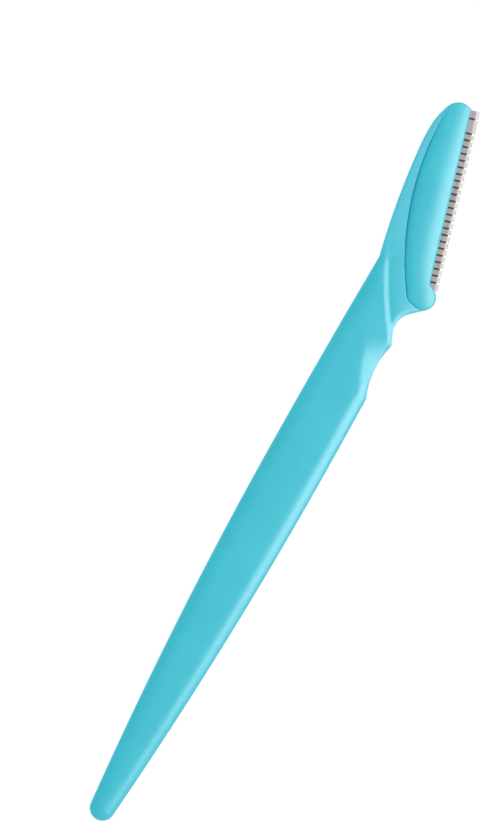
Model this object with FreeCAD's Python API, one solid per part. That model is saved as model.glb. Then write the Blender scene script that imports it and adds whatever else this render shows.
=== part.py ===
import FreeCAD
import Part
import math
import os

# Eyebrow razor, all sizes in millimetres.
# +Y runs along the handle to the head, +X points to the blade side, +Z is up.
# The origin lies on the flat underside, in the middle of the handle's widest place.

# Handle
HANDLE_THICKNESS = 4.0
HANDLE_WIDTH = 11.8
TAIL_LENGTH = 80.0
TAIL_RADIUS = 2.45
EDGE_LAND = 0.2
NECK_POSITION = 41.3
NECK_TAPER = 0.525
SHANK_OVERLAP = 6.0

# Finger scoop in the front edge, below the neck
SCOOP_TO_NECK = 14.05
SCOOP_LENGTH = 11.25
SCOOP_HOLLOW = 1.0
CORNER_SETBACK = 0.57

# Shallow dish for the fingertip on both faces, next to the scoop
DISH_INSET = 0.3
DISH_TO_CORNER = 5.45
DISH_ANGLE = 23.6
DISH_DEPTH = 1.3
DISH_RADIUS = 5.35
DISH_BARREL = 19.5

# Curved, slanting ridge where the handle steps down to the thinner head plate
RIDGE_ANGLE = 39.5
RIDGE_ARC = 70.0
RIDGE_RUN = 2.0
RIDGE_SWEEP = 60.0
PLATE_THICKNESS = 2.6
PLATE_EDGE_RADIUS = 0.6
PLATE_BEVEL = 0.4

# Neck cut-out in front of the ridge
NECK_LOWER_ANGLE = 24.7
NECK_UPPER_ANGLE = 48.0
NECK_RADIUS = 4.5

# Head: its straight blade side, and its back measured from the top of that side
BLADE_ANGLE = 15.87
EDGE_INSET = 0.42
EDGE_RISE = 0.68
EDGE_LENGTH = 33.9
BACK_MIDDLE = (-19.9, 9.65)
BACK_SHOULDER = (-7.8, 7.73)
TIP_CURVE = [(-2.0, 5.7), (0.4, 3.6), (0.85, 1.5)]
HEEL_RADIUS = 2.5
HEEL_REACH = 1.88
HEEL_DROP = 3.55
HEEL_BLEND = 1.5

# Blade covers
COVER_WIDTH = 7.05
COVER_TIP_WIDTH = 3.87
APEX_SHIFT = 1.65
COVER_BOTTOM = 5.6
COVER_CORNER = 2.75
COVER_SINK = 0.05
CREST_OFFSET = 3.8
NOSE_HALF = 0.9
CROWN_FALL = 0.2
OUTLINE_CORNER = 0.8
RIM_BEVEL = 0.15
PARTING_GAP = 0.02

# Tongue of the head plate that the covers clamp
TONGUE_CLEARANCE = 0.5
TONGUE_LOW = -2.0
TONGUE_TIP = 4.4

# Pins that hold the covers together
PIN_DIAMETER = 1.2
PIN_ENGAGEMENT = 0.35
TONGUE_PIN_SPREAD = 5.5
BLADE_PIN_MARGIN = 8.0

# Blade
BLADE_THICKNESS = 0.25
BLADE_WIDTH = 4.9
BLADE_BEVEL = 0.5
BLADE_TIP = 0.02
BLADE_INSET = 0.6

# Folded guard over the cutting edge
FOIL_THICKNESS = 0.15
GUARD_REACH = 1.75
GUARD_TO_BLADE = 0.1
GUARD_DEPTH = 1.2
GUARD_TOP_INSET = 0.15
GUARD_TUCK = 1.85
SLOT_WIDTH = 0.38
FIRST_SLOT = 1.62
SECOND_SLOT = 4.52
SLOT_PITCH = 1.34
SLOT_MARGIN = 1.5

# Clearance between pieces that fit together
FIT = 0.03


def arc_radius(half_chord, rise):
    return (half_chord ** 2 + rise ** 2) / (2 * rise)


MID = HANDLE_THICKNESS / 2
HALF = HANDLE_WIDTH / 2
EDGE_RADIUS = (HANDLE_THICKNESS - EDGE_LAND) / 2
PLATE_HALF = PLATE_THICKNESS / 2
RIDGE_STEP = MID - PLATE_HALF
CREST_HALF = MID - COVER_SINK
SCOOP_END = NECK_POSITION - SCOOP_TO_NECK
SCOOP_START = SCOOP_END - SCOOP_LENGTH
COVER_APEX = EDGE_LENGTH / 2 - APEX_SHIFT
COVER_ARC = arc_radius(EDGE_LENGTH - COVER_APEX, COVER_WIDTH - COVER_TIP_WIDTH)
CROWN_RADIUS = arc_radius(HEEL_REACH + CREST_OFFSET, CREST_HALF - NOSE_HALF)
GUARD_TOP = EDGE_LENGTH - GUARD_TOP_INSET
GUARD_LENGTH = GUARD_TOP + GUARD_TUCK
BLADE_SLOT_HALF = BLADE_THICKNESS / 2 + FIT
GUARD_HALF = BLADE_SLOT_HALF + FOIL_THICKNESS
BLADE_REACH = GUARD_REACH - FOIL_THICKNESS - GUARD_TO_BLADE
BLADE_BACK = BLADE_WIDTH - BLADE_REACH
TONGUE_EDGE = BLADE_BACK + TONGUE_CLEARANCE
FAR = 60.0

X = FreeCAD.Vector(1, 0, 0)
Y = FreeCAD.Vector(0, 1, 0)
Z = FreeCAD.Vector(0, 0, 1)


def point(x, y, z=0.0):
    return FreeCAD.Vector(x, y, z)


def heading(degrees):
    angle = math.radians(degrees)
    return point(math.sin(angle), math.cos(angle))


def line(start, end):
    return Part.makeLine(start, end)


def arc(start, middle, end):
    return Part.Arc(start, middle, end).toShape()


def polygon(points):
    return [line(a, b) for a, b in zip(points, points[1:] + points[:1])]


def prism(edges, bottom, top):
    face = Part.Face(Part.Wire(Part.__sortEdges__(edges)))
    face.translate(Z * bottom)
    return face.extrude(Z * (top - bottom))


def flipped(shape):
    return shape.mirror(point(0, 0, MID), Z)


def edge_middle(edge):
    return edge.valueAt((edge.FirstParameter + edge.LastParameter) / 2)


# Handle outline: a long taper to the round tail, and a slight taper to the neck
TAPER_RISE = TAIL_LENGTH - TAIL_RADIUS
LOWER_ARC = (HALF ** 2 + TAPER_RISE ** 2 - TAIL_RADIUS ** 2) / (2 * (HALF - TAIL_RADIUS))
UPPER_ARC = arc_radius(NECK_POSITION, NECK_TAPER)


def half_width_above(y):
    return HALF - UPPER_ARC + math.sqrt(UPPER_ARC ** 2 - y ** 2)


def half_width_below(y):
    return HALF - LOWER_ARC + math.sqrt(LOWER_ARC ** 2 - y ** 2)


KINK = point(NECK_TAPER - HALF, NECK_POSITION)
CORNER = point(half_width_above(SCOOP_END) - CORNER_SETBACK, SCOOP_END)


def make_shank():
    top = NECK_POSITION + SHANK_OVERLAP
    tail_centre = point(0, -TAPER_RISE)
    joint = tail_centre + point(LOWER_ARC - HALF, -TAPER_RISE).normalize() * TAIL_RADIUS
    middle = joint.y / 2
    edges = [line(point(-half_width_above(top), top), point(half_width_above(top), top))]
    edges.append(arc(point(-joint.x, joint.y), point(0, -TAIL_LENGTH), joint))
    for side in (-1, 1):
        foot = point(side * joint.x, joint.y)
        widest = point(side * HALF, 0)
        end = point(side * half_width_above(top), top)
        edges.append(arc(foot, point(side * half_width_below(middle), middle), widest))
        edges.append(arc(widest, point(side * half_width_above(top / 2), top / 2), end))
    blank = prism(edges, 0, HANDLE_THICKNESS)
    rim = []
    for edge in blank.Edges:
        box = edge.BoundBox
        if box.ZLength < 0.001 and box.YMin < top - 0.001:
            rim.append(edge)
    return blank.makeFillet(EDGE_RADIUS, rim)


# The head's own directions: along the blade, and outwards over its edge
ALONG = heading(-BLADE_ANGLE)
OUTWARD = point(ALONG.y, -ALONG.x)
EDGE_START = point(HALF - EDGE_INSET, NECK_POSITION + EDGE_RISE)


def head(along, outward, z=0.0):
    return EDGE_START + ALONG * along + OUTWARD * outward + Z * z


def head_box(low, high, inner, outer, bottom, top):
    corners = [head(low, inner), head(high, inner), head(high, outer), head(low, outer)]
    return prism(polygon(corners), bottom, top)


# Outline of the head: neck, heel, straight blade side, and back
HEEL = head(-HEEL_DROP, HEEL_REACH - HEEL_RADIUS)
NECK_DOWN = heading(-NECK_LOWER_ANGLE)
NECK_UP = heading(NECK_UPPER_ANGLE)
HEEL_FOOT = HEEL + point(NECK_UP.y, -NECK_UP.x) * HEEL_RADIUS


def neck_edges():
    gap = HEEL_FOOT - CORNER
    cross = NECK_DOWN.x * NECK_UP.y - NECK_DOWN.y * NECK_UP.x
    vertex = CORNER + NECK_DOWN * ((gap.x * NECK_UP.y - gap.y * NECK_UP.x) / cross)
    half_turn = math.radians(NECK_LOWER_ANGLE + NECK_UPPER_ANGLE) / 2
    trim = NECK_RADIUS * math.tan(half_turn)
    start = vertex - NECK_DOWN * trim
    end = vertex + NECK_UP * trim
    inward = (NECK_UP - NECK_DOWN).normalize()
    middle = vertex + inward * (NECK_RADIUS / math.cos(half_turn) - NECK_RADIUS)
    return [line(CORNER, start), arc(start, middle, end), line(end, HEEL_FOOT)]


def heel_edges():
    rise = HEEL_BLEND + HEEL_RADIUS - HEEL_REACH
    span = math.sqrt((HEEL_RADIUS + HEEL_BLEND) ** 2 - rise ** 2) - HEEL_DROP
    blend = head(span, HEEL_BLEND)
    landing = head(span, 0)
    to_blend = (blend - HEEL).normalize()
    to_foot = (HEEL_FOOT - HEEL).normalize()
    shoulder = HEEL + to_blend * HEEL_RADIUS
    nose = HEEL + (to_blend + to_foot).normalize() * HEEL_RADIUS
    hollow = blend - (OUTWARD + to_blend).normalize() * HEEL_BLEND
    return [
        arc(HEEL_FOOT, nose, shoulder),
        arc(shoulder, hollow, landing),
        line(landing, head(EDGE_LENGTH, 0)),
    ]


def back_edges():
    def behind(place):
        return head(EDGE_LENGTH + place[0], -place[1])

    shoulder = behind(BACK_SHOULDER)
    back = arc(KINK, behind(BACK_MIDDLE), shoulder)
    top = head(EDGE_LENGTH, 0)
    last = behind(TIP_CURVE[-1])
    tip = Part.BSplineCurve()
    tip.interpolate(
        Points=[shoulder] + [behind(place) for place in TIP_CURVE] + [top],
        InitialTangent=back.tangentAt(back.LastParameter),
        FinalTangent=(top - last).normalize(),
    )
    return [back, tip.toShape()]


def make_head_blank(front, bottom, top):
    root = point(0, (SCOOP_START + SCOOP_END) / 2)
    inside = KINK + X * EDGE_RADIUS
    closing = [line(CORNER, root), line(root, inside), line(inside, KINK)]
    return prism(neck_edges() + front + back_edges() + closing, bottom, top)


# Room that the covers take in the head, and the tongue that reaches into it
def cover_room(bottom, top, clearance=0.0):
    centre_out = COVER_ARC - COVER_WIDTH
    corner_along = COVER_CORNER - COVER_BOTTOM
    inner = COVER_ARC - COVER_CORNER
    corner_out = centre_out - math.sqrt(inner ** 2 - (corner_along - COVER_APEX) ** 2)
    centre = head(COVER_APEX, centre_out)
    corner = head(corner_along, corner_out)
    foot = head(-COVER_BOTTOM, corner_out)
    to_shoulder = (corner - centre).normalize()
    shoulder = centre + to_shoulder * COVER_ARC
    bulge = corner + (to_shoulder - ALONG).normalize() * COVER_CORNER
    end = EDGE_LENGTH + COVER_BOTTOM
    end_out = centre_out - math.sqrt(COVER_ARC ** 2 - (end - COVER_APEX) ** 2)
    edges = [
        line(head(-COVER_BOTTOM, FAR), foot),
        arc(foot, bulge, shoulder),
        arc(shoulder, head(COVER_APEX, -COVER_WIDTH), head(end, end_out)),
        line(head(end, end_out), head(end, FAR)),
        line(head(end, FAR), head(-COVER_BOTTOM, FAR)),
    ]
    room = prism(edges, bottom, top)
    room.translate((ALONG + OUTWARD) * clearance)
    return room


def plate_zone(clearance, half_height):
    bottom = MID - half_height
    top = MID + half_height
    slab = head_box(-FAR, FAR, -FAR, FAR, bottom, top)
    low = TONGUE_LOW - clearance
    high = EDGE_LENGTH - TONGUE_TIP + clearance
    tongue = head_box(low, high, -FAR, clearance - TONGUE_EDGE, bottom, top)
    return slab.cut(cover_room(bottom, top, clearance).cut(tongue))


# Pins in two rows: through the middle of the blade's and the tongue's clamped strips
BLADE_PINS = []
TONGUE_PINS = []
for side in (-1, 1):
    spread = GUARD_LENGTH / 2 - BLADE_PIN_MARGIN
    BLADE_PINS.append((GUARD_TOP - GUARD_LENGTH / 2 + side * spread, -(GUARD_DEPTH + BLADE_BACK) / 2))
    TONGUE_PINS.append((COVER_APEX + side * TONGUE_PIN_SPREAD, -(TONGUE_EDGE + COVER_WIDTH) / 2))


def rods(places, diameter, bottom, top):
    return [Part.makeCylinder(diameter / 2, top - bottom, head(s, t, bottom)) for s, t in places]


# Handle: shank with its ridge, head plate, scoop and dishes
def make_ridge_cutter():
    across = point(math.cos(math.radians(RIDGE_ANGLE)), math.sin(math.radians(RIDGE_ANGLE)))
    radius = (RIDGE_RUN ** 2 + RIDGE_STEP ** 2) / (4 * RIDGE_STEP)
    turn = math.atan2(RIDGE_STEP, RIDGE_RUN)
    side = radius * math.sin(turn)
    fall = radius * (1 - math.cos(turn))
    half_run = RIDGE_RUN / 2
    inner = RIDGE_ARC / 2

    def at(out, height):
        return CORNER + across * out + Z * (MID + height)

    edges = []
    for face, floor in ((MID, PLATE_HALF), (-MID, -PLATE_HALF)):
        down = math.copysign(fall, face)
        middle = (face + floor) / 2
        edges.append(arc(at(-half_run, face), at(side - half_run, face - down), at(0, middle)))
        edges.append(arc(at(0, middle), at(half_run - side, floor + down), at(half_run, floor)))
        edges.append(line(at(-half_run, face), at(-half_run, 2 * face)))
        edges.append(line(at(-half_run, 2 * face), at(inner, 2 * face)))
    edges.append(line(at(half_run, PLATE_HALF), at(half_run, -PLATE_HALF)))
    edges.append(line(at(inner, 2 * MID), at(inner, -2 * MID)))
    centre = CORNER + across * RIDGE_ARC
    profile = Part.Face(Part.Wire(Part.__sortEdges__(edges)))
    profile.rotate(centre, Z, -RIDGE_SWEEP / 2)
    return profile.revolve(centre, Z, RIDGE_SWEEP)


def make_scoop_cutter():
    start = point(half_width_above(SCOOP_START), SCOOP_START)
    along = (CORNER - start).normalize()
    hollow = (start + CORNER) * 0.5 + point(-along.y, along.x) * SCOOP_HOLLOW
    out = CORNER + (X + Y) * 3
    out_low = point(out.x, SCOOP_START)
    edges = [arc(start, hollow, CORNER)]
    edges += [line(CORNER, out), line(out, out_low), line(out_low, start)]
    return prism(edges, -1, HANDLE_THICKNESS + 1)


def make_dish_cutter():
    lengthwise = heading(-DISH_ANGLE)
    height = HANDLE_THICKNESS - DISH_DEPTH + DISH_RADIUS
    middle = point(HALF - DISH_INSET, SCOOP_END - DISH_TO_CORNER, height)
    end_radius = DISH_RADIUS - 2 * DISH_DEPTH
    reach = math.sqrt(DISH_BARREL ** 2 - (DISH_BARREL - 2 * DISH_DEPTH) ** 2)
    low = middle - lengthwise * reach
    high = middle + lengthwise * reach
    profile = [
        arc(low - Z * end_radius, middle - Z * DISH_RADIUS, high - Z * end_radius),
        line(high - Z * end_radius, high),
        line(high, low),
        line(low, low - Z * end_radius),
    ]
    return Part.Face(Part.Wire(profile)).revolve(low, lengthwise, 360)


def rim_along(plate, outline):
    found = []
    for edge in plate.Edges:
        middle = edge_middle(edge)
        height = abs(middle.z - MID)
        middle.z = 0
        near = min(middle.distanceToPoint(edge_middle(other)) for other in outline)
        if near < 0.001 and height > PLATE_HALF - 0.001:
            found.append(edge)
    return found


def make_plate():
    front = [line(HEEL_FOOT, head(EDGE_LENGTH, 0))]
    plate = make_head_blank(front, MID - PLATE_HALF, MID + PLATE_HALF)
    plate = plate.makeFillet(PLATE_EDGE_RADIUS, rim_along(plate, neck_edges()))
    plate = plate.makeChamfer(PLATE_BEVEL, rim_along(plate, back_edges()))
    plate = plate.common(plate_zone(0, PLATE_HALF))
    for hole in rods(TONGUE_PINS, PIN_DIAMETER + 2 * FIT, 0, HANDLE_THICKNESS):
        plate = plate.cut(hole)
    return plate


def make_handle():
    beside = [point(FAR, HEEL_FOOT.y), point(FAR, CORNER.y)]
    notch = neck_edges() + [line(HEEL_FOOT, beside[0]), line(*beside), line(beside[1], CORNER)]
    shank = make_shank().cut(make_ridge_cutter())
    shank = shank.cut(prism(notch, -1, HANDLE_THICKNESS + 1))
    handle = shank.fuse(make_plate()).cut(make_scoop_cutter())
    dish = make_dish_cutter()
    return handle.cut(dish).cut(flipped(dish)).removeSplitter()


# Covers: a crowned shell over each face, pinned through the blade and the tongue
def sharp_uprights(solid):
    found = []
    for edge in solid.Edges:
        middle = edge_middle(edge)
        normals = []
        for face in solid.ancestorsOfType(edge, Part.Face):
            u, v = face.Surface.parameter(middle)
            normals.append(face.normalAt(u, v))
        if edge.BoundBox.ZLength > 0.001 and normals[0].getAngle(normals[1]) > 0.1:
            found.append(edge)
    return found


def make_crowned_blank():
    bottom = MID + PARTING_GAP / 2
    top = HANDLE_THICKNESS + 1
    outline = make_head_blank(heel_edges(), bottom, top).common(cover_room(bottom, top))
    outline = outline.makeFillet(OUTLINE_CORNER, sharp_uprights(outline))
    axis_height = MID + CREST_HALF - CROWN_RADIUS
    low = head(-COVER_BOTTOM, -CREST_OFFSET, axis_height)
    high = head(EDGE_LENGTH, -CREST_OFFSET, axis_height - CROWN_FALL)
    axis = (high - low).normalize()
    crown = Part.makeCylinder(CROWN_RADIUS, 2 * FAR, low - axis * (FAR / 2), axis)
    cover = outline.common(crown)
    rim = []
    for face in cover.Faces:
        if face.Surface.TypeId == "Part::GeomCylinder" and abs(face.Surface.Axis.z) < 0.5:
            rim += face.Edges
    return cover.makeChamfer(RIM_BEVEL, rim)


def make_covers():
    low = GUARD_TOP - GUARD_LENGTH - FIT
    high = GUARD_TOP + FIT
    back = -BLADE_BACK - FIT
    guard_half = GUARD_HALF + FIT
    blade_room = head_box(low, high, back, FAR, MID - BLADE_SLOT_HALF, MID + BLADE_SLOT_HALF)
    guard_room = head_box(low, high, -GUARD_DEPTH - FIT, FAR, MID - guard_half, MID + guard_half)
    pocket = plate_zone(FIT, PLATE_HALF + FIT)
    front = make_crowned_blank().cut(pocket.fuse([blade_room, guard_room]))
    rear = flipped(front)
    for places, half_gap in ((BLADE_PINS, BLADE_SLOT_HALF), (TONGUE_PINS, PLATE_HALF + FIT)):
        root = MID + half_gap + PIN_ENGAGEMENT
        end = MID - half_gap - PIN_ENGAGEMENT
        front = front.fuse(rods(places, PIN_DIAMETER, end, root))
        for socket in rods(places, PIN_DIAMETER + 2 * FIT, end - FIT, MID):
            rear = rear.cut(socket)
    return front.removeSplitter(), rear


# Blade: a strip with a ground edge and pin holes
def make_blade():
    low = GUARD_TOP - GUARD_LENGTH + BLADE_INSET
    half = BLADE_THICKNESS / 2
    lower = [(-BLADE_BACK, -half)]
    lower += [(BLADE_REACH - BLADE_BEVEL, -half), (BLADE_REACH, -BLADE_TIP / 2)]
    corners = lower + [(t, -z) for t, z in reversed(lower)]
    section = Part.Face(Part.Wire(polygon([head(low, t, MID + z) for t, z in corners])))
    blade = section.extrude(ALONG * (GUARD_LENGTH - 2 * BLADE_INSET))
    for hole in rods(BLADE_PINS, PIN_DIAMETER + 2 * FIT, 0, HANDLE_THICKNESS):
        blade = blade.cut(hole)
    return blade


# Guard: foil folded over the cutting edge, slotted from the covers to the fold
def make_guard():
    low = GUARD_TOP - GUARD_LENGTH
    fold = GUARD_REACH - GUARD_HALF

    def at(outward, height):
        return head(low, outward, MID + height)

    section = [
        arc(at(fold, -GUARD_HALF), at(GUARD_REACH, 0), at(fold, GUARD_HALF)),
        line(at(fold, GUARD_HALF), at(-GUARD_DEPTH, GUARD_HALF)),
        line(at(-GUARD_DEPTH, GUARD_HALF), at(-GUARD_DEPTH, -GUARD_HALF)),
        line(at(-GUARD_DEPTH, -GUARD_HALF), at(fold, -GUARD_HALF)),
    ]
    guard = Part.Face(Part.Wire(section)).extrude(ALONG * GUARD_LENGTH)
    inside = GUARD_REACH - FOIL_THICKNESS
    room = head_box(low, GUARD_TOP, -FAR, inside, MID - BLADE_SLOT_HALF, MID + BLADE_SLOT_HALF)
    guard = guard.cut(room)
    count = int((GUARD_LENGTH - SECOND_SLOT - SLOT_MARGIN) / SLOT_PITCH) + 1
    places = [FIRST_SLOT] + [SECOND_SLOT + SLOT_PITCH * i for i in range(count)]
    slots = []
    for place in places:
        low = GUARD_TOP - place - SLOT_WIDTH / 2
        slots.append(head_box(low, low + SLOT_WIDTH, 0, FAR, 0, HANDLE_THICKNESS))
    return guard.cut(Part.makeCompound(slots))


front_cover, rear_cover = make_covers()
pieces = {
    "handle": make_handle(),
    "front_blade_cover": front_cover,
    "rear_blade_cover": rear_cover,
    "blade": make_blade(),
    "blade_guard": make_guard(),
}
os.makedirs("parts", exist_ok=True)
for name, shape in pieces.items():
    shape.exportStep("parts/" + name + ".step")
    print(name, len(shape.Solids), shape.isValid(), round(shape.Volume, 2))
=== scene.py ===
import math

import bpy
import numpy as np
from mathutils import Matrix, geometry


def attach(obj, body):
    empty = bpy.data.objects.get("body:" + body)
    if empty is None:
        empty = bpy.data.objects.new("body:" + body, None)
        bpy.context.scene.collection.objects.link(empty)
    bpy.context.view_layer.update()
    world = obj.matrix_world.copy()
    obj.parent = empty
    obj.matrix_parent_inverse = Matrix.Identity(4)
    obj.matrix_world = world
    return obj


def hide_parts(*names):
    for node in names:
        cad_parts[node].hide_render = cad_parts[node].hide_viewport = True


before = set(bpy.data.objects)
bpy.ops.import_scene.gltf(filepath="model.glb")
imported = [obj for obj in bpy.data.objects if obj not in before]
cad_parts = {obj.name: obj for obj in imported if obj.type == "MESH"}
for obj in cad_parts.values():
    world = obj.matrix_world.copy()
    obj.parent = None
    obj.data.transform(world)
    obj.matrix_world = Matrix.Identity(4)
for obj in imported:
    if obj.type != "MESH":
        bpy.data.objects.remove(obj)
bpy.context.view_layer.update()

# Handle: one moulding of turquoise plastic, 4 mm thick with well rounded edges. It steps down over a
# slanting ridge to a thin head plate, and a scoop with a shallow dish in front of it takes the fingertip.
# Outlines are points in millimetres on the table's plane, and meshes are made from them in metres.
MID_HEIGHT = 2.0
HALF_WIDTH = 5.9
TAIL_END = -80.0
TAIL_RADIUS = 2.45
KINK = np.array([-5.375, 41.3])
SCOOP_START = 16.0
CORNER = np.array([5.1, 27.25])
SCOOP_HOLLOW = 1.0
NECK_RADIUS = 4.5
NECK_DROP = math.radians(24.7)
NECK_RISE = math.radians(48)
EDGE_ROUNDING = 2.8
SCOOP_ROUNDING = 0.35
PLATE_ROUNDING = 0.6
NECK_ROUNDING = 1.15
SEAM_ROUNDING = 0.06
ROLL_OVER = (0.6, 0.9)
EDGE_DEPTH = (0.4, 0.536)
WING_SIDE = -4.0
WING_RAMP = (37.0, 44.0)
SCOOP_RAMP = (15.5, 21.0)
CORNER_RAMP = (23.5, 27.25)
FACE_CROWN = 70.0
RIDGE_ARC = 70.0
RIDGE_ANGLE = math.radians(39.5)
RIDGE_SET_BACK = 0.12
RIDGE_STEP = 0.30
RIDGE_RUN = 1.5
RIDGE_RUN_OUT = 6.0
RIDGE_WIDENS = (40.5, 46.0)
PLATE_FALL = 0.0115
DISH_FOOT = np.array([3.3, 17.5])
DISH_ANGLE = math.radians(21.7)
DISH_SLOPE = math.tan(math.radians(15))
DISH_ONSET = 0.28
DISH_ENTRY = (-3.0, 2.0)
DISH_FADE = (4.2, 12.0)
DISH_LEFT = 0.1
DISH_TO_RIDGE = (1.5, -0.5)
BLADE_ANGLE = math.radians(15.87)
EDGE_START = np.array([5.48, 41.98])
EDGE_LENGTH = 33.9
BACK_MIDDLE = (14.0, -9.65)
TIP_CURVE = [(26.1, -7.68), (31.9, -5.55), (34.25, -3.55), (34.6, -1.6), (EDGE_LENGTH, 0.0)]
TIP_DIRECTION = (0.97, 0.25)
TIP_JUNCTION = 0.05
SEAM_CENTRE = (15.3, 48.7)
SEAM_ARC = 56.0
SEAM_CORNER = 2.75
SEAM_SLANT = math.radians(22.8)
POD_BOTTOM = -5.6
HEEL = np.array([-3.55, -0.62])
HEEL_RADIUS = 2.5
SEAM_GAP = 0.004
# Painted light: past the ridge and up the head the plastic is coloured lighter, standing in for the light
# that falls on the tilted head plate and shines through its thin plastic.
PAINTED_LIGHT_PAST_RIDGE = (0.5, 9.0)
PAINTED_LIGHT_UP_HEAD = (40.0, 48.0)
FILL_WIDTH = (-9.5, 8.5)
NECK_ROWS = (14, 47)
SHANK_ROWS = (-79, 14)
WING_ROWS = (47.5, 75)
FINE_STEP = 0.33
COARSE_STEP = 1.1
SHANK_STEP = 1.8
CLEAR_OF_EDGE = 0.08
CLEAR_OF_LOOP = 0.12


def head(along, outward):
    """Table points of places given along the cutting edge and outward from it."""
    lengthwise = np.array([-math.sin(BLADE_ANGLE), math.cos(BLADE_ANGLE)])
    across = np.array([lengthwise[1], -lengthwise[0]])
    along = np.asarray(along, float)[..., None]
    return EDGE_START + along * lengthwise + np.asarray(outward, float)[..., None] * across


def head_place(points):
    """The way back: how far along the cutting edge and outward from it each point lies."""
    offset = points - EDGE_START
    sine, cosine = math.sin(BLADE_ANGLE), math.cos(BLADE_ANGLE)
    return offset[:, 1] * cosine - offset[:, 0] * sine, offset[:, 0] * cosine + offset[:, 1] * sine


def resample(points, step):
    points = np.asarray(points, float)
    run = np.concatenate([[0], np.cumsum(np.hypot(*np.diff(points, axis=0).T))])
    places = np.linspace(0, run[-1], max(2, round(run[-1] / step) + 1))[:-1]
    return np.column_stack([np.interp(places, run, points[:, i]) for i in (0, 1)])


def arc(start, middle, end):
    start, middle, end = (np.asarray(p, float) for p in (start, middle, end))
    sides = np.array([middle - start, end - start])
    centre = start + np.linalg.solve(2 * sides, (sides ** 2).sum(1))
    first, last = (math.atan2(*(p - centre)[::-1]) for p in (start, end))
    if np.cross(*sides) > 0:
        last += 2 * math.pi * (last < first)
    else:
        last -= 2 * math.pi * (last > first)
    angles = np.linspace(first, last, 80)
    radius = np.hypot(*(start - centre))
    return centre + radius * np.column_stack([np.cos(angles), np.sin(angles)])


def seam(along, clearance=0.0):
    reach = np.sqrt((SEAM_ARC + clearance) ** 2 - (np.asarray(along) - SEAM_CENTRE[0]) ** 2)
    return SEAM_CENTRE[1] - reach


def seam_end(clearance=0.0):
    """The seam's rounded lower corner and its straight run from there to the neck, as places on the head."""
    corner = np.array([POD_BOTTOM + SEAM_CORNER, seam(POD_BOTTOM + SEAM_CORNER, -SEAM_CORNER)])
    away = corner - SEAM_CENTRE
    turn = np.linspace(math.atan2(away[1], away[0]) % (2 * math.pi), math.pi + SEAM_SLANT, 20)
    bend = corner + (SEAM_CORNER + clearance) * np.column_stack([np.cos(turn), np.sin(turn)])
    onward = np.array([math.sin(turn[-1]), -math.cos(turn[-1])])
    rise = NECK_RISE + BLADE_ANGLE
    neck = np.array([math.cos(rise), math.sin(rise)])
    heel_foot = HEEL + HEEL_RADIUS * np.array([-neck[1], neck[0]])
    run = np.linalg.solve(np.column_stack([onward, -neck]), heel_foot - bend[-1])[0]
    return np.vstack([bend, [bend[-1] + run * onward]])


def neck_line():
    down = np.array([-math.sin(NECK_DROP), math.cos(NECK_DROP)])
    up = np.array([math.sin(NECK_RISE), math.cos(NECK_RISE)])
    heel_foot = head(*HEEL) + HEEL_RADIUS * np.array([up[1], -up[0]])
    runs = np.linalg.solve(np.column_stack([down, -up]), heel_foot - CORNER)
    vertex = CORNER + runs[0] * down
    half_turn = (NECK_RISE + NECK_DROP) / 2
    trim = NECK_RADIUS * math.tan(half_turn)
    inward = (up - down) / np.hypot(*(up - down))
    middle = vertex + inward * (NECK_RADIUS / math.cos(half_turn) - NECK_RADIUS)
    bend = arc(vertex - down * trim, middle, vertex + up * trim)
    return np.vstack([[CORNER], bend, [head(*seam_end(SEAM_GAP)[-1])]])


def back_line():
    """The back of the head plate as an arc, and the tip as a smooth cubic through its points."""
    places = np.array(TIP_CURVE)
    knots = np.concatenate([[0], np.cumsum(np.hypot(*np.diff(places, axis=0).T))])
    slopes = np.gradient(places, knots, axis=0)
    slopes[0] = TIP_DIRECTION
    t = np.linspace(0, knots[-1], 120)
    i = np.clip(np.searchsorted(knots, t, side="right") - 1, 0, len(places) - 2)
    span = (knots[i + 1] - knots[i])[:, None]
    f = (t - knots[i])[:, None] / span
    tip = (places[i] * (1 + 2 * f) * (1 - f) ** 2 + slopes[i] * span * f * (1 - f) ** 2
           + places[i + 1] * f ** 2 * (3 - 2 * f) - slopes[i + 1] * span * f ** 2 * (1 - f))
    back = arc(KINK, head(*BACK_MIDDLE), head(*TIP_CURVE[0]))
    return back, head(tip[:, 0], tip[:, 1])


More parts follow.
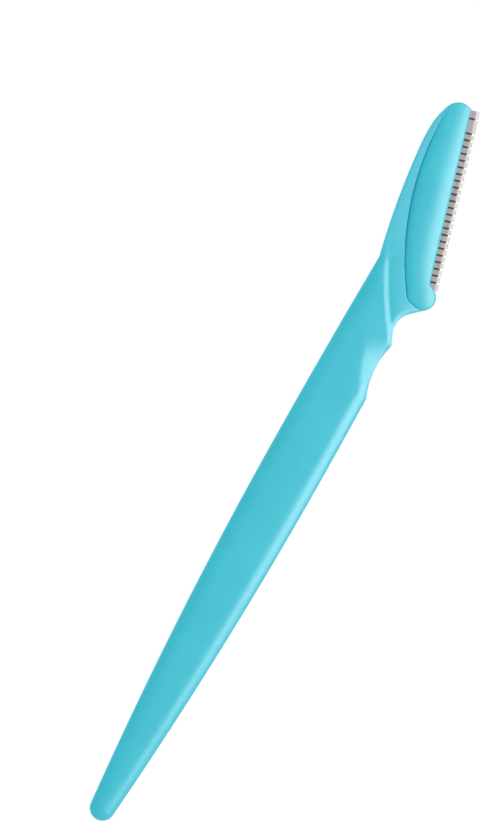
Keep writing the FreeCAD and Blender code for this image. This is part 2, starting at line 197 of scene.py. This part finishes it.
def handle_outline():
    """The outline against the clock from the shank's left side, and the edge's rounding at each point."""
    lower_arc = (HALF_WIDTH ** 2 + (TAIL_END + TAIL_RADIUS) ** 2 - TAIL_RADIUS ** 2) / (
        2 * (HALF_WIDTH - TAIL_RADIUS))
    taper = HALF_WIDTH + KINK[0]
    upper_arc = (taper ** 2 + KINK[1] ** 2) / (2 * taper)
    tail_middle = TAIL_END + TAIL_RADIUS
    lean = math.atan2(-tail_middle, lower_arc - HALF_WIDTH)
    joint = tail_middle - TAIL_RADIUS * math.sin(lean)
    below = np.linspace(joint, 0, 60)
    below_x = HALF_WIDTH - lower_arc + np.sqrt(lower_arc ** 2 - below ** 2)
    above = np.linspace(0, SCOOP_START, 20)
    above_x = HALF_WIDTH - upper_arc + np.sqrt(upper_arc ** 2 - above ** 2)
    turn = np.linspace(math.pi + lean, 2 * math.pi - lean, 40)
    tail = np.column_stack([np.cos(turn), np.sin(turn)]) * TAIL_RADIUS + (0, tail_middle)
    start = np.array([above_x[-1], SCOOP_START])
    chord = (CORNER - start) / np.hypot(*(CORNER - start))
    hollow = (start + CORNER) / 2 + SCOOP_HOLLOW * np.array([-chord[1], chord[0]])
    left = np.linspace(KINK[1], 0, 40)
    left_x = HALF_WIDTH - upper_arc + np.sqrt(upper_arc ** 2 - left ** 2)

    lower_seam = seam_end(SEAM_GAP)[::-1]
    back, tip = back_line()
    tip_along, tip_out = head_place(tip)
    clear_of_cover = tip_out < seam(tip_along, SEAM_GAP) - TIP_JUNCTION
    outside = tip[clear_of_cover]
    side_seam = np.linspace(lower_seam[-1, 0], tip_along[clear_of_cover][-1], 80)[1:]
    seam_line = np.vstack([head(*lower_seam.T), head(side_seam, seam(side_seam, SEAM_GAP))])
    wing = np.vstack([outside[::-1], back[::-1]])
    # Each stretch has points at a step, in millimetres, that suits its bend.
    stretches = [
        (resample(np.column_stack([-below_x, below])[::-1], 2.0), EDGE_ROUNDING),
        (resample(tail, 0.3), EDGE_ROUNDING),
        (resample(np.column_stack([below_x, below]), 2.0), EDGE_ROUNDING),
        (resample(np.column_stack([above_x, above]), 0.5), EDGE_ROUNDING),
        (resample(arc(start, hollow, CORNER), 0.3), SCOOP_ROUNDING),
        (resample(neck_line(), 0.25), NECK_ROUNDING),
        (resample(seam_line, 0.3), SEAM_ROUNDING),
        (resample(wing, 0.4), PLATE_ROUNDING),
        (resample(np.column_stack([-left_x, left]), 0.5), EDGE_ROUNDING),
    ]
    loop = np.vstack([points for points, _ in stretches])
    rounding = np.concatenate([np.full(len(points), radius) for points, radius in stretches])
    x, y = loop.T
    for on_side, ramp, radii in (
            (x < WING_SIDE, WING_RAMP, (EDGE_ROUNDING, PLATE_ROUNDING)),
            (x >= 0, SCOOP_RAMP, (EDGE_ROUNDING, SCOOP_ROUNDING)),
            (x >= 0, CORNER_RAMP, (SCOOP_ROUNDING, NECK_ROUNDING))):
        on_ramp = on_side & (y > ramp[0]) & (y < ramp[1])
        rounding = np.where(on_ramp, np.interp(y, ramp, radii), rounding)
    return loop, rounding


def smooth(value, low, high):
    share = np.clip((value - low) / (high - low), 0, 1)
    return share * share * (3 - 2 * share)


def past_ridge(points):
    """How far each point lies past the ridge's curved line, towards the blade."""
    centre = CORNER + RIDGE_ARC * np.array([math.cos(RIDGE_ANGLE), math.sin(RIDGE_ANGLE)])
    return RIDGE_ARC - RIDGE_SET_BACK - np.hypot(*(points - centre).T)


def handle_top(points):
    """Height of the broad face over the middle plane: crown, ridge, falling plate and dish."""
    place = past_ridge(points)
    half_run = (RIDGE_RUN + RIDGE_RUN_OUT * smooth(points[:, 1], *RIDGE_WIDENS)) / 2
    step = RIDGE_STEP * smooth(place, -half_run, half_run)
    ground = MID_HEIGHT - points[:, 0] ** 2 / (2 * FACE_CROWN) - step
    ground -= PLATE_FALL * np.maximum(place - RIDGE_RUN / 2, 0) ** 2
    offset = points - DISH_FOOT
    sine, cosine = math.sin(DISH_ANGLE), math.cos(DISH_ANGLE)
    along = offset[:, 1] * cosine - offset[:, 0] * sine
    across = offset[:, 0] * cosine + offset[:, 1] * sine
    onset = DISH_ONSET * np.logaddexp(0, across / DISH_ONSET)
    share = 1 - (1 - DISH_LEFT) * smooth(along, *DISH_FADE)
    fade_in = smooth(along, *DISH_ENTRY)
    return ground - DISH_SLOPE * onset * share * fade_in * smooth(place, *DISH_TO_RIDGE)


def outline_distance(points, loop, rounding):
    """Distance of each point to the outline, the way inwards from there, and the rounding there."""
    side = np.roll(loop, -1, axis=0) - loop
    change = np.roll(rounding, -1) - rounding
    length = (side ** 2).sum(1)
    distance, inward, local = np.empty(len(points)), np.empty((len(points), 2)), np.empty(len(points))
    for chunk in np.array_split(np.arange(len(points)), max(1, len(points) // 500)):
        gap = points[chunk][:, None] - loop[None]
        share = np.clip((gap * side[None]).sum(2) / length, 0, 1)
        apart = gap - share[..., None] * side[None]
        square = (apart ** 2).sum(2)
        near = square.argmin(1)
        rows = np.arange(len(chunk))
        distance[chunk] = np.sqrt(square[rows, near])
        turned = np.column_stack([-side[near, 1], side[near, 0]]) / np.sqrt(length[near])[:, None]
        straight = apart[rows, near] / np.maximum(distance[chunk], 1e-9)[:, None]
        inward[chunk] = np.where(distance[chunk][:, None] < 1e-4, turned, straight)
        local[chunk] = rounding[near] + share[rows, near] * change[near]
    return distance, inward, local


def rounded_surface(points, loop, rounding, top, roll, depths):
    """Height over the middle plane and normal of a face whose edge rolls over along the outline."""
    distance, inward, radius = outline_distance(points, loop, rounding)
    height = top(points)
    probe = 0.02
    slope = np.column_stack([
        (top(points + offset) - top(points - offset)) / (2 * probe)
        for offset in (np.array([probe, 0]), np.array([0, probe]))])
    depth = np.minimum(radius, depths[0] + depths[1] * radius)
    short = np.interp(radius, *roll) * np.clip((radius - distance) / radius, 0, 1)
    rise = np.sqrt(1 - short ** 2)
    upward = (rise / depth)[:, None]
    normal = np.column_stack([-upward * slope - (short / radius)[:, None] * inward, upward])
    normal /= np.linalg.norm(normal, axis=1)[:, None]
    return height - depth + depth * rise, normal


def edge_rings(loop, rounding):
    """Points inside the outline where the rounded edge needs them."""
    way = np.roll(loop, -1, axis=0) - np.roll(loop, 1, axis=0)
    way /= np.hypot(*way.T)[:, None]
    inward = np.column_stack([-way[:, 1], way[:, 0]])
    rings = []
    for angle in np.radians(np.arange(12, 91, 13)):
        depth = rounding * (1 - math.cos(angle))
        ring = loop + inward * depth[:, None]
        clear, _, _ = outline_distance(ring, loop, rounding)
        rings.append(ring[clear > 0.95 * depth])
    return np.vstack(rings)


def grid(x, y):
    return np.column_stack([axis.ravel() for axis in np.meshgrid(x, y)])


def inside(points, loop):
    x, y = points.T
    ends = np.roll(loop, -1, axis=0)
    hit = np.zeros(len(points), bool)
    for (ax, ay), (bx, by) in zip(loop, ends):
        crosses = (ay > y) != (by > y)
        hit ^= crosses & (x < ax + (y - ay) / (by - ay if by != ay else 1) * (bx - ax))
    return hit


def closed_mesh(name, loop, inner, top, bottom, attributes):
    """A closed piece between two heights over one outline, with its own smooth normals."""
    count = len(loop)
    points = np.vstack([loop, inner])
    plan, _, faces, *_ = geometry.delaunay_2d_cdt(
        [tuple(p) for p in points], [], [list(range(count))], 1, 1e-6, False)
    points = np.array([tuple(p) for p in plan])
    within = inside(points[np.array(faces)].mean(1), loop)
    faces = np.array(faces)[within]
    used, faces = np.unique(faces, return_inverse=True)
    faces = faces.reshape(-1, 3)
    points = points[used]
    high, high_normal = top(points)
    low, low_normal = bottom(points)
    size = len(points)
    vertices = np.vstack([np.column_stack([points, high]), np.column_stack([points, low])]) / 1000
    way = np.roll(loop, -1, axis=0) - np.roll(loop, 1, axis=0)
    outward = np.column_stack([way[:, 1], -way[:, 0], np.zeros(count)])
    outward /= np.linalg.norm(outward, axis=1)[:, None]
    polygons = [tuple(f) for f in faces] + [tuple(i + size for i in reversed(f)) for f in faces]
    normals = [high_normal[i] for f in faces for i in f]
    normals += [low_normal[i] for f in faces for i in reversed(f)]
    for i in range(count):
        j = (i + 1) % count
        polygons.append((i + size, j + size, j, i))
        normals += [outward[i], outward[j], outward[j], outward[i]]
    mesh = bpy.data.meshes.new(name)
    mesh.from_pydata(vertices.tolist(), [], polygons)
    mesh.shade_smooth()
    mesh.normals_split_custom_set([tuple(n) for n in normals])
    for key, values in attributes(points).items():
        layer = mesh.attributes.new(key, "FLOAT", "POINT")
        layer.data.foreach_set("value", np.concatenate([values, values]).astype(np.float32))
    piece = bpy.data.objects.new(name, mesh)
    bpy.context.scene.collection.objects.link(piece)
    return piece


handle_loop, handle_rounding = handle_outline()
fine = grid(np.arange(*FILL_WIDTH, FINE_STEP), np.arange(*NECK_ROWS, FINE_STEP))
shank_and_wing = np.concatenate([np.arange(*SHANK_ROWS, SHANK_STEP), np.arange(*WING_ROWS, COARSE_STEP)])
coarse = grid(np.arange(*FILL_WIDTH, COARSE_STEP), shank_and_wing)
fill = np.vstack([fine, coarse])
fill = fill[inside(fill, handle_loop)]
clear, _, radius = outline_distance(fill, handle_loop, handle_rounding)
to_loop = np.array([np.hypot(*(handle_loop - p).T).min() for p in fill])
fill = fill[(clear > radius + CLEAR_OF_EDGE) & (to_loop > CLEAR_OF_LOOP)]


def handle_front(points):
    roll = ((NECK_ROUNDING, EDGE_ROUNDING), ROLL_OVER)
    height, normal = rounded_surface(points, handle_loop, handle_rounding, handle_top, roll, EDGE_DEPTH)
    return MID_HEIGHT + height, normal


def handle_rear(points):
    height, normal = handle_front(points)
    return 2 * MID_HEIGHT - height, normal * (1, 1, -1)


# Share of painted light on the head plate: the colour is made lighter past the ridge and up the head.
def handle_painted_light(points):
    past = smooth(past_ridge(points), *PAINTED_LIGHT_PAST_RIDGE)
    return {"thin": np.maximum(past, smooth(points[:, 1], *PAINTED_LIGHT_UP_HEAD))}


handle = closed_mesh("handle_body", handle_loop, np.vstack([edge_rings(handle_loop, handle_rounding), fill]),
                     handle_front, handle_rear, handle_painted_light)

plastic = bpy.data.node_groups.new("moulded plastic", "ShaderNodeTree")
for name, kind in (("Colour", "NodeSocketColor"), ("Grain", "NodeSocketFloat")):
    plastic.interface.new_socket(name, in_out="INPUT", socket_type=kind)
for name, kind in (("Colour", "NodeSocketColor"), ("Roughness", "NodeSocketFloat"),
                   ("Normal", "NodeSocketVector")):
    plastic.interface.new_socket(name, in_out="OUTPUT", socket_type=kind)
nodes, links = plastic.nodes, plastic.links
given = nodes.new("NodeGroupInput")
result = nodes.new("NodeGroupOutput")
place = nodes.new("ShaderNodeTexCoord")
cloud = nodes.new("ShaderNodeTexNoise")
cloud.inputs["Scale"].default_value = 160
cloud.inputs["Detail"].default_value = 3
links.new(place.outputs["Object"], cloud.inputs["Vector"])
tone = nodes.new("ShaderNodeMapRange")
tone.inputs["From Min"].default_value = 0.3
tone.inputs["From Max"].default_value = 0.7
tone.inputs["To Min"].default_value = 0.97
tone.inputs["To Max"].default_value = 1.03
links.new(cloud.outputs["Fac"], tone.inputs["Value"])
tint = nodes.new("ShaderNodeVectorMath")
tint.operation = "SCALE"
links.new(given.outputs["Colour"], tint.inputs[0])
links.new(tone.outputs["Result"], tint.inputs["Scale"])
links.new(tint.outputs["Vector"], result.inputs["Colour"])
grain = nodes.new("ShaderNodeTexNoise")
grain.inputs["Scale"].default_value = 3500
grain.inputs["Detail"].default_value = 2
links.new(place.outputs["Object"], grain.inputs["Vector"])
gloss = nodes.new("ShaderNodeMapRange")
gloss.inputs["To Min"].default_value = 0.28
gloss.inputs["To Max"].default_value = 0.38
links.new(cloud.outputs["Fac"], gloss.inputs["Value"])
links.new(gloss.outputs["Result"], result.inputs["Roughness"])
bump = nodes.new("ShaderNodeBump")
bump.inputs["Distance"].default_value = 0.00002
links.new(given.outputs["Grain"], bump.inputs["Strength"])
links.new(grain.outputs["Fac"], bump.inputs["Height"])
links.new(bump.outputs["Normal"], result.inputs["Normal"])

TURQUOISE = (0.022, 0.56, 0.69, 1)
# Painted light: a lighter turquoise for the head plate, in place of the light it catches.
PAINTED_LIGHT_TURQUOISE = (0.065, 0.59, 0.745, 1)


def plastic_material(name):
    material = bpy.data.materials.new(name)
    material.use_nodes = True
    nodes, links = material.node_tree.nodes, material.node_tree.links
    shader = nodes["Principled BSDF"]
    skin = nodes.new("ShaderNodeGroup")
    skin.node_tree = plastic
    skin.inputs["Colour"].default_value = TURQUOISE
    skin.inputs["Grain"].default_value = 0.25
    links.new(skin.outputs["Colour"], shader.inputs["Base Color"])
    links.new(skin.outputs["Roughness"], shader.inputs["Roughness"])
    links.new(skin.outputs["Normal"], shader.inputs["Normal"])
    shader.inputs["Specular IOR Level"].default_value = 0.7
    return material, skin


turquoise, skin = plastic_material("handle turquoise plastic")
nodes, links = turquoise.node_tree.nodes, turquoise.node_tree.links
# Painted light: the handle's colour blends to the lighter turquoise past the ridge and up the head.
thin = nodes.new("ShaderNodeAttribute")
thin.attribute_name = "thin"
pale = nodes.new("ShaderNodeMix")
pale.data_type = "RGBA"
pale.inputs["A"].default_value = TURQUOISE
pale.inputs["B"].default_value = PAINTED_LIGHT_TURQUOISE
links.new(thin.outputs["Fac"], pale.inputs["Factor"])
links.new(pale.outputs["Result"], skin.inputs["Colour"])
handle.data.materials.append(turquoise)
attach(handle, "root")
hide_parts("handle")

# Blade covers: two crowned shells of the same plastic that clamp the blade and the plate's tongue between
# them. They meet at the middle plane, and a narrow seam shows where each lies on the head plate.
NOSE_BLEND = 1.5
CREST_HALF = 1.95
CREST_OUT = -4.04
CREST_TURN = 9.5
HEEL_BEND = 0.0115
TIP_BEND = 0.0017
HEEL_FALL = 0.015
CROWN_RADIUS = 10.5
CROWN_FALL = 0.2
RIM_ROUNDING = 0.5
SEAM_ROLL = 1.8
RIM_ROLL = 0.97
RIM_DEPTH = (0.42, 0.24)
SEAM_REACH = (-3.0, 33.0)
SEAM_BAND = 0.5
SEAM_ROLL_STARTS = (-5.0, -2.0)
SEAM_ROLL_ENDS = (33.0, 27.0)
SOFT_CORNERS_BELOW = 25.0
OUTLINE_STEP = 0.22
COVER_COLUMNS = (-11, 9)
COVER_ROWS = (35, 77)
COVER_STEP = 0.45
CLEAR_OF_RIM = 0.1
PARTING = 0.01
BLADE_ROOM = 0.155
GUARD_ROOM = 0.335
ROOM_LENGTH = (-1.9, 33.8)
BLADE_ROOM_FROM = -3.4
GUARD_ROOM_FROM = -1.25


def cover_outline():
    """Round the heel's nose, along the blade to the tip, and back down the seam."""
    apart = math.sqrt((HEEL_RADIUS + NOSE_BLEND) ** 2 - (NOSE_BLEND - HEEL[1]) ** 2)
    blend = np.array([HEEL[0] + apart, NOSE_BLEND])
    last = math.atan2(*(blend - HEEL))
    turn = np.linspace(-(NECK_RISE + BLADE_ANGLE), last, 60)
    nose = HEEL + HEEL_RADIUS * np.column_stack([np.sin(turn), np.cos(turn)])
    turn = np.linspace(math.pi + last, math.pi, 20)
    hollow = blend + NOSE_BLEND * np.column_stack([np.sin(turn), np.cos(turn)])
    lower_seam = seam_end()
    tip = np.column_stack(head_place(back_line()[1]))
    tip = tip[tip[:, 1] > seam(tip[:, 0])][::-1]
    run = np.linspace(tip[-1, 0], lower_seam[0, 0], 120)[1:-1]
    side_seam = np.column_stack([run, seam(run)])
    line = np.vstack([nose, hollow, [(EDGE_LENGTH, 0)], tip[1:], side_seam, lower_seam, nose[:1]])
    line = resample(line, OUTLINE_STEP)
    at_heel = (line[:, 0] < SOFT_CORNERS_BELOW)[:, None]
    for _ in range(3):
        softer = (np.roll(line, 1, axis=0) + 2 * line + np.roll(line, -1, axis=0)) / 4
        line = np.where(at_heel, softer, line)
    return head(line[:, 0], line[:, 1])


def crown(points):
    """Height of the crowned face over the middle plane, which falls to both sides of a curved crest."""
    along, outward = head_place(points)
    bend = np.where(along < CREST_TURN, HEEL_BEND, TIP_BEND)
    crest = CREST_OUT + bend * (along - CREST_TURN) ** 2
    fall = CROWN_FALL * (along - POD_BOTTOM) / (EDGE_LENGTH - POD_BOTTOM)
    fall += HEEL_FALL * np.minimum(along, 0) ** 2
    return CREST_HALF - fall - CROWN_RADIUS + np.sqrt(CROWN_RADIUS ** 2 - (outward - crest) ** 2)


cover_loop = cover_outline()
along, outward = head_place(cover_loop)
at_seam = (outward < seam(np.clip(along, *SEAM_REACH)) + SEAM_BAND) * smooth(along, *SEAM_ROLL_STARTS)
at_seam = at_seam * smooth(along, *SEAM_ROLL_ENDS)
cover_rounding = RIM_ROUNDING + (SEAM_ROLL - RIM_ROUNDING) * at_seam
fill = grid(np.arange(*COVER_COLUMNS, COVER_STEP), np.arange(*COVER_ROWS, COVER_STEP))
fill = fill[inside(fill, cover_loop)]
clear, _, radius = outline_distance(fill, cover_loop, cover_rounding)
cover_points = np.vstack([edge_rings(cover_loop, cover_rounding), fill[clear > radius + CLEAR_OF_RIM]])


def cover_face(points):
    roll = ((RIM_ROUNDING, SEAM_ROLL), (RIM_ROLL, RIM_ROLL))
    height, normal = rounded_surface(points, cover_loop, cover_rounding, crown, roll, RIM_DEPTH)
    return MID_HEIGHT + height, normal


def cover_inside(points):
    along, outward = head_place(points)
    height = np.full(len(points), PARTING)
    by_length = (along > ROOM_LENGTH[0]) & (along < ROOM_LENGTH[1])
    height = np.where(by_length & (outward > BLADE_ROOM_FROM), BLADE_ROOM, height)
    height = np.where(by_length & (outward > GUARD_ROOM_FROM), GUARD_ROOM, height)
    return MID_HEIGHT + height, np.tile((0.0, 0.0, -1.0), (len(points), 1))


def rear_face(points):
    height, normal = cover_face(points)
    return 2 * MID_HEIGHT - height, normal * (1, 1, -1)


def rear_inside(points):
    height, normal = cover_inside(points)
    return 2 * MID_HEIGHT - height, -normal


shell, _ = plastic_material("cover turquoise plastic")
for name, upper, lower in (("front", cover_face, cover_inside), ("rear", rear_inside, rear_face)):
    cover = closed_mesh(name + "_cover_shell", cover_loop, cover_points, upper, lower, lambda points: {})
    cover.data.materials.append(shell)
    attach(cover, "root")
    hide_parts(name + "_blade_cover")

# Blade: a strip of ground steel, seen only through the slots of the guard. It keeps the imported shape.
# Its flat is painted near black there as the shade inside the slots, and its ground bevel is painted bright
# as a highlight, just behind the guard's fold.
STREAK_STRETCH = (1, 0.08, 1)
brushed_and_painted_steel = bpy.data.node_groups.new("brushed steel with painted light", "ShaderNodeTree")
for name in ("Dull", "Bright", "Bright From", "Bright To", "Edge", "Edge From", "Edge To", "Streak Size"):
    brushed_and_painted_steel.interface.new_socket(name, in_out="INPUT", socket_type="NodeSocketFloat")
for name in ("Tone", "Roughness"):
    brushed_and_painted_steel.interface.new_socket(name, in_out="OUTPUT", socket_type="NodeSocketFloat")
nodes, links = brushed_and_painted_steel.nodes, brushed_and_painted_steel.links
given = nodes.new("NodeGroupInput")
result = nodes.new("NodeGroupOutput")
place = nodes.new("ShaderNodeTexCoord")
turn = nodes.new("ShaderNodeMapping")
turn.vector_type = "TEXTURE"
turn.inputs["Location"].default_value = (EDGE_START[0] / 1000, EDGE_START[1] / 1000, 0)
turn.inputs["Rotation"].default_value = (0, 0, BLADE_ANGLE)
links.new(place.outputs["Object"], turn.inputs["Vector"])
parts = nodes.new("ShaderNodeSeparateXYZ")
links.new(turn.outputs["Vector"], parts.inputs["Vector"])
# Painted highlight: a brighter tone across the steel in a band at a set distance out from the cutting edge.
painted_highlight_band = nodes.new("ShaderNodeMapRange")
painted_highlight_band.interpolation_type = "SMOOTHSTEP"
links.new(parts.outputs["X"], painted_highlight_band.inputs["Value"])
for socket, name in (("From Min", "Bright From"), ("From Max", "Bright To"),
                     ("To Min", "Dull"), ("To Max", "Bright")):
    links.new(given.outputs[name], painted_highlight_band.inputs[socket])
# The outermost band takes a tone of its own; on the guard it is darker at the fold's very edge.
brink = nodes.new("ShaderNodeMapRange")
brink.interpolation_type = "SMOOTHSTEP"
links.new(parts.outputs["X"], brink.inputs["Value"])
for socket, name in (("From Min", "Edge From"), ("From Max", "Edge To"), ("To Max", "Edge")):
    links.new(given.outputs[name], brink.inputs[socket])
links.new(painted_highlight_band.outputs["Result"], brink.inputs["To Min"])
stretch = nodes.new("ShaderNodeVectorMath")
stretch.operation = "MULTIPLY"
stretch.inputs[1].default_value = STREAK_STRETCH
links.new(turn.outputs["Vector"], stretch.inputs[0])
streak = nodes.new("ShaderNodeTexNoise")
streak.inputs["Detail"].default_value = 3
links.new(stretch.outputs["Vector"], streak.inputs["Vector"])
links.new(given.outputs["Streak Size"], streak.inputs["Scale"])
spread = nodes.new("ShaderNodeMapRange")
spread.inputs["From Min"].default_value = 0.3
spread.inputs["From Max"].default_value = 0.7
spread.inputs["To Min"].default_value = 0.88
spread.inputs["To Max"].default_value = 1.12
links.new(streak.outputs["Fac"], spread.inputs["Value"])
tone = nodes.new("ShaderNodeMath")
tone.operation = "MULTIPLY"
links.new(brink.outputs["Result"], tone.inputs[0])
links.new(spread.outputs["Result"], tone.inputs[1])
links.new(tone.outputs["Value"], result.inputs["Tone"])
gloss = nodes.new("ShaderNodeMapRange")
gloss.inputs["To Min"].default_value = 0.36
gloss.inputs["To Max"].default_value = 0.50
links.new(streak.outputs["Fac"], gloss.inputs["Value"])
links.new(gloss.outputs["Result"], result.inputs["Roughness"])


def steel_material(name, values):
    material = bpy.data.materials.new(name)
    material.use_nodes = True
    nodes, links = material.node_tree.nodes, material.node_tree.links
    shader = nodes["Principled BSDF"]
    shader.inputs["Metallic"].default_value = 1.0
    finish = nodes.new("ShaderNodeGroup")
    finish.node_tree = brushed_and_painted_steel
    for socket, value in values.items():
        finish.inputs[socket].default_value = value
    links.new(finish.outputs["Tone"], shader.inputs["Base Color"])
    links.new(finish.outputs["Roughness"], shader.inputs["Roughness"])
    return material


# Painted shade and highlight: the flat is near black where the slots show it, and the ground bevel is
# painted bright.
steel = steel_material("blade steel", {
    "Dull": 0.06, "Bright": 0.45, "Bright From": 0.00120, "Bright To": 0.00145,
    "Edge": 0.45, "Edge From": 0.002, "Edge To": 0.003, "Streak Size": 4000})
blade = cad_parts["blade"]
blade.data.materials.clear()
blade.data.materials.append(steel)

# Guard: thin steel foil folded over the cutting edge, with a narrow slot at every tooth. It keeps the packed
# shape. Its flanks are dull grey, and the fold carries a painted highlight, a brighter band for the light it
# catches.
# Painted highlight: the fold is painted brighter for the light it catches, and darker at its very edge.
foil = steel_material("guard steel foil", {
    "Dull": 0.29, "Bright": 0.52, "Bright From": 0.0009, "Bright To": 0.0014,
    "Edge": 0.20, "Edge From": 0.0014, "Edge To": 0.00155, "Streak Size": 2500})
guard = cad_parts["blade_guard"]
guard.data.materials.clear()
guard.data.materials.append(foil)

# Table: a plain white sheet that the razor lies on. Seen directly or mirrored it shows as white with only
# a trace of shadow, and to matt faces it is a pale sheet that glows no more than any other.
WHITE_SHARE = 0.9
TABLE_SIZE = 4
TABLE_HEIGHT = -0.00002
table = bpy.data.materials.new("white table")
table.use_nodes = True
nodes, links = table.node_tree.nodes, table.node_tree.links
shader = nodes["Principled BSDF"]
shader.inputs["Base Color"].default_value = (0.88, 0.88, 0.88, 1)
shader.inputs["Roughness"].default_value = 0.9
path = nodes.new("ShaderNodeLightPath")
seen = path.outputs["Is Camera Ray"]
for ray in ("Is Glossy Ray", "Is Transmission Ray"):
    either = nodes.new("ShaderNodeMath")
    either.operation = "MAXIMUM"
    links.new(seen, either.inputs[0])
    links.new(path.outputs[ray], either.inputs[1])
    seen = either.outputs["Value"]
share = nodes.new("ShaderNodeMath")
share.operation = "MULTIPLY"
share.inputs[1].default_value = WHITE_SHARE
links.new(seen, share.inputs[0])
glow = nodes.new("ShaderNodeEmission")
glow.inputs["Color"].default_value = (1, 1, 1, 1)
glow.inputs["Strength"].default_value = 1.05
mix = nodes.new("ShaderNodeMixShader")
links.new(share.outputs["Value"], mix.inputs["Fac"])
links.new(shader.outputs["BSDF"], mix.inputs[1])
links.new(glow.outputs["Emission"], mix.inputs[2])
links.new(mix.outputs["Shader"], nodes["Material Output"].inputs["Surface"])
bpy.ops.mesh.primitive_plane_add(size=TABLE_SIZE, location=(0, 0, TABLE_HEIGHT))
floor = bpy.context.object
floor.name = "table"
floor.data.materials.append(table)

# Light: one wide softbox to the right of the picture gives the gloss, and the plain studio all round gives
# the even light, stronger from the softbox's side, most of all in what shiny faces mirror.
SOFTBOX_TURN = math.radians(30)
SOFTBOX_DISTANCE = 0.6
SOFTBOX_LEAN = math.radians(52)
SOFTBOX_WIDTH = 0.6
SOFTBOX_HEIGHT = 0.85
SOFTBOX_WATTS = 7.6
SOFTBOX_COLOUR = (1.0, 0.87, 0.85)
MATT_LIGHT = (0.86, 0.98)
MIRRORED_LIGHT = (0.20, 1.50)
softbox_data = bpy.data.lights.new("softbox", "AREA")
softbox_data.shape = "RECTANGLE"
softbox_data.size = SOFTBOX_WIDTH
softbox_data.size_y = SOFTBOX_HEIGHT
softbox_data.energy = SOFTBOX_WATTS
softbox_data.color = SOFTBOX_COLOUR
softbox = bpy.data.objects.new("softbox", softbox_data)
reach = SOFTBOX_DISTANCE * math.sin(SOFTBOX_LEAN)
softbox.location = (reach * math.cos(SOFTBOX_TURN), reach * math.sin(SOFTBOX_TURN),
                    SOFTBOX_DISTANCE * math.cos(SOFTBOX_LEAN))
softbox.rotation_euler = (0, SOFTBOX_LEAN, SOFTBOX_TURN)
softbox.visible_diffuse = False
bpy.context.scene.collection.objects.link(softbox)
world = bpy.data.worlds.new("studio")
world.use_nodes = True
nodes, links = world.node_tree.nodes, world.node_tree.links
place = nodes.new("ShaderNodeTexCoord")
side = nodes.new("ShaderNodeVectorMath")
side.operation = "DOT_PRODUCT"
side.inputs[1].default_value = (math.cos(SOFTBOX_TURN), math.sin(SOFTBOX_TURN), 0)
links.new(place.outputs["Generated"], side.inputs[0])
path = nodes.new("ShaderNodeLightPath")
level = nodes.new("ShaderNodeMix")
links.new(path.outputs["Is Glossy Ray"], level.inputs["Factor"])
for socket, (darkest, brightest) in (("A", MATT_LIGHT), ("B", MIRRORED_LIGHT)):
    slope = nodes.new("ShaderNodeMapRange")
    slope.inputs["From Min"].default_value = -1
    slope.inputs["To Min"].default_value = darkest
    slope.inputs["To Max"].default_value = brightest
    links.new(side.outputs["Value"], slope.inputs["Value"])
    links.new(slope.outputs["Result"], level.inputs[socket])
links.new(level.outputs["Result"], nodes["Background"].inputs["Strength"])
nodes["Background"].inputs["Color"].default_value = (1, 1, 1, 1)
bpy.context.scene.world = world

# Camera: straight down through a long lens, turned so that the razor leans to the right. The frame's
# height is measured at the razor's middle plane, and the lens's distance follows from it.
VIEW_TURN = math.radians(29.25)
VIEW_PLACE = (-0.01425, 0.0021)
FRAME_HEIGHT = 0.15848
camera_data = bpy.data.cameras.new("camera")
camera_data.lens = 150
camera_data.sensor_width = 36
camera = bpy.data.objects.new("camera", camera_data)
camera_height = MID_HEIGHT / 1000 + FRAME_HEIGHT * camera_data.lens / camera_data.sensor_width
camera.location = (*VIEW_PLACE, camera_height)
camera.rotation_euler = (0, 0, VIEW_TURN)
bpy.context.scene.collection.objects.link(camera)
scene = bpy.context.scene
scene.camera = camera
scene.view_settings.view_transform = "Standard"
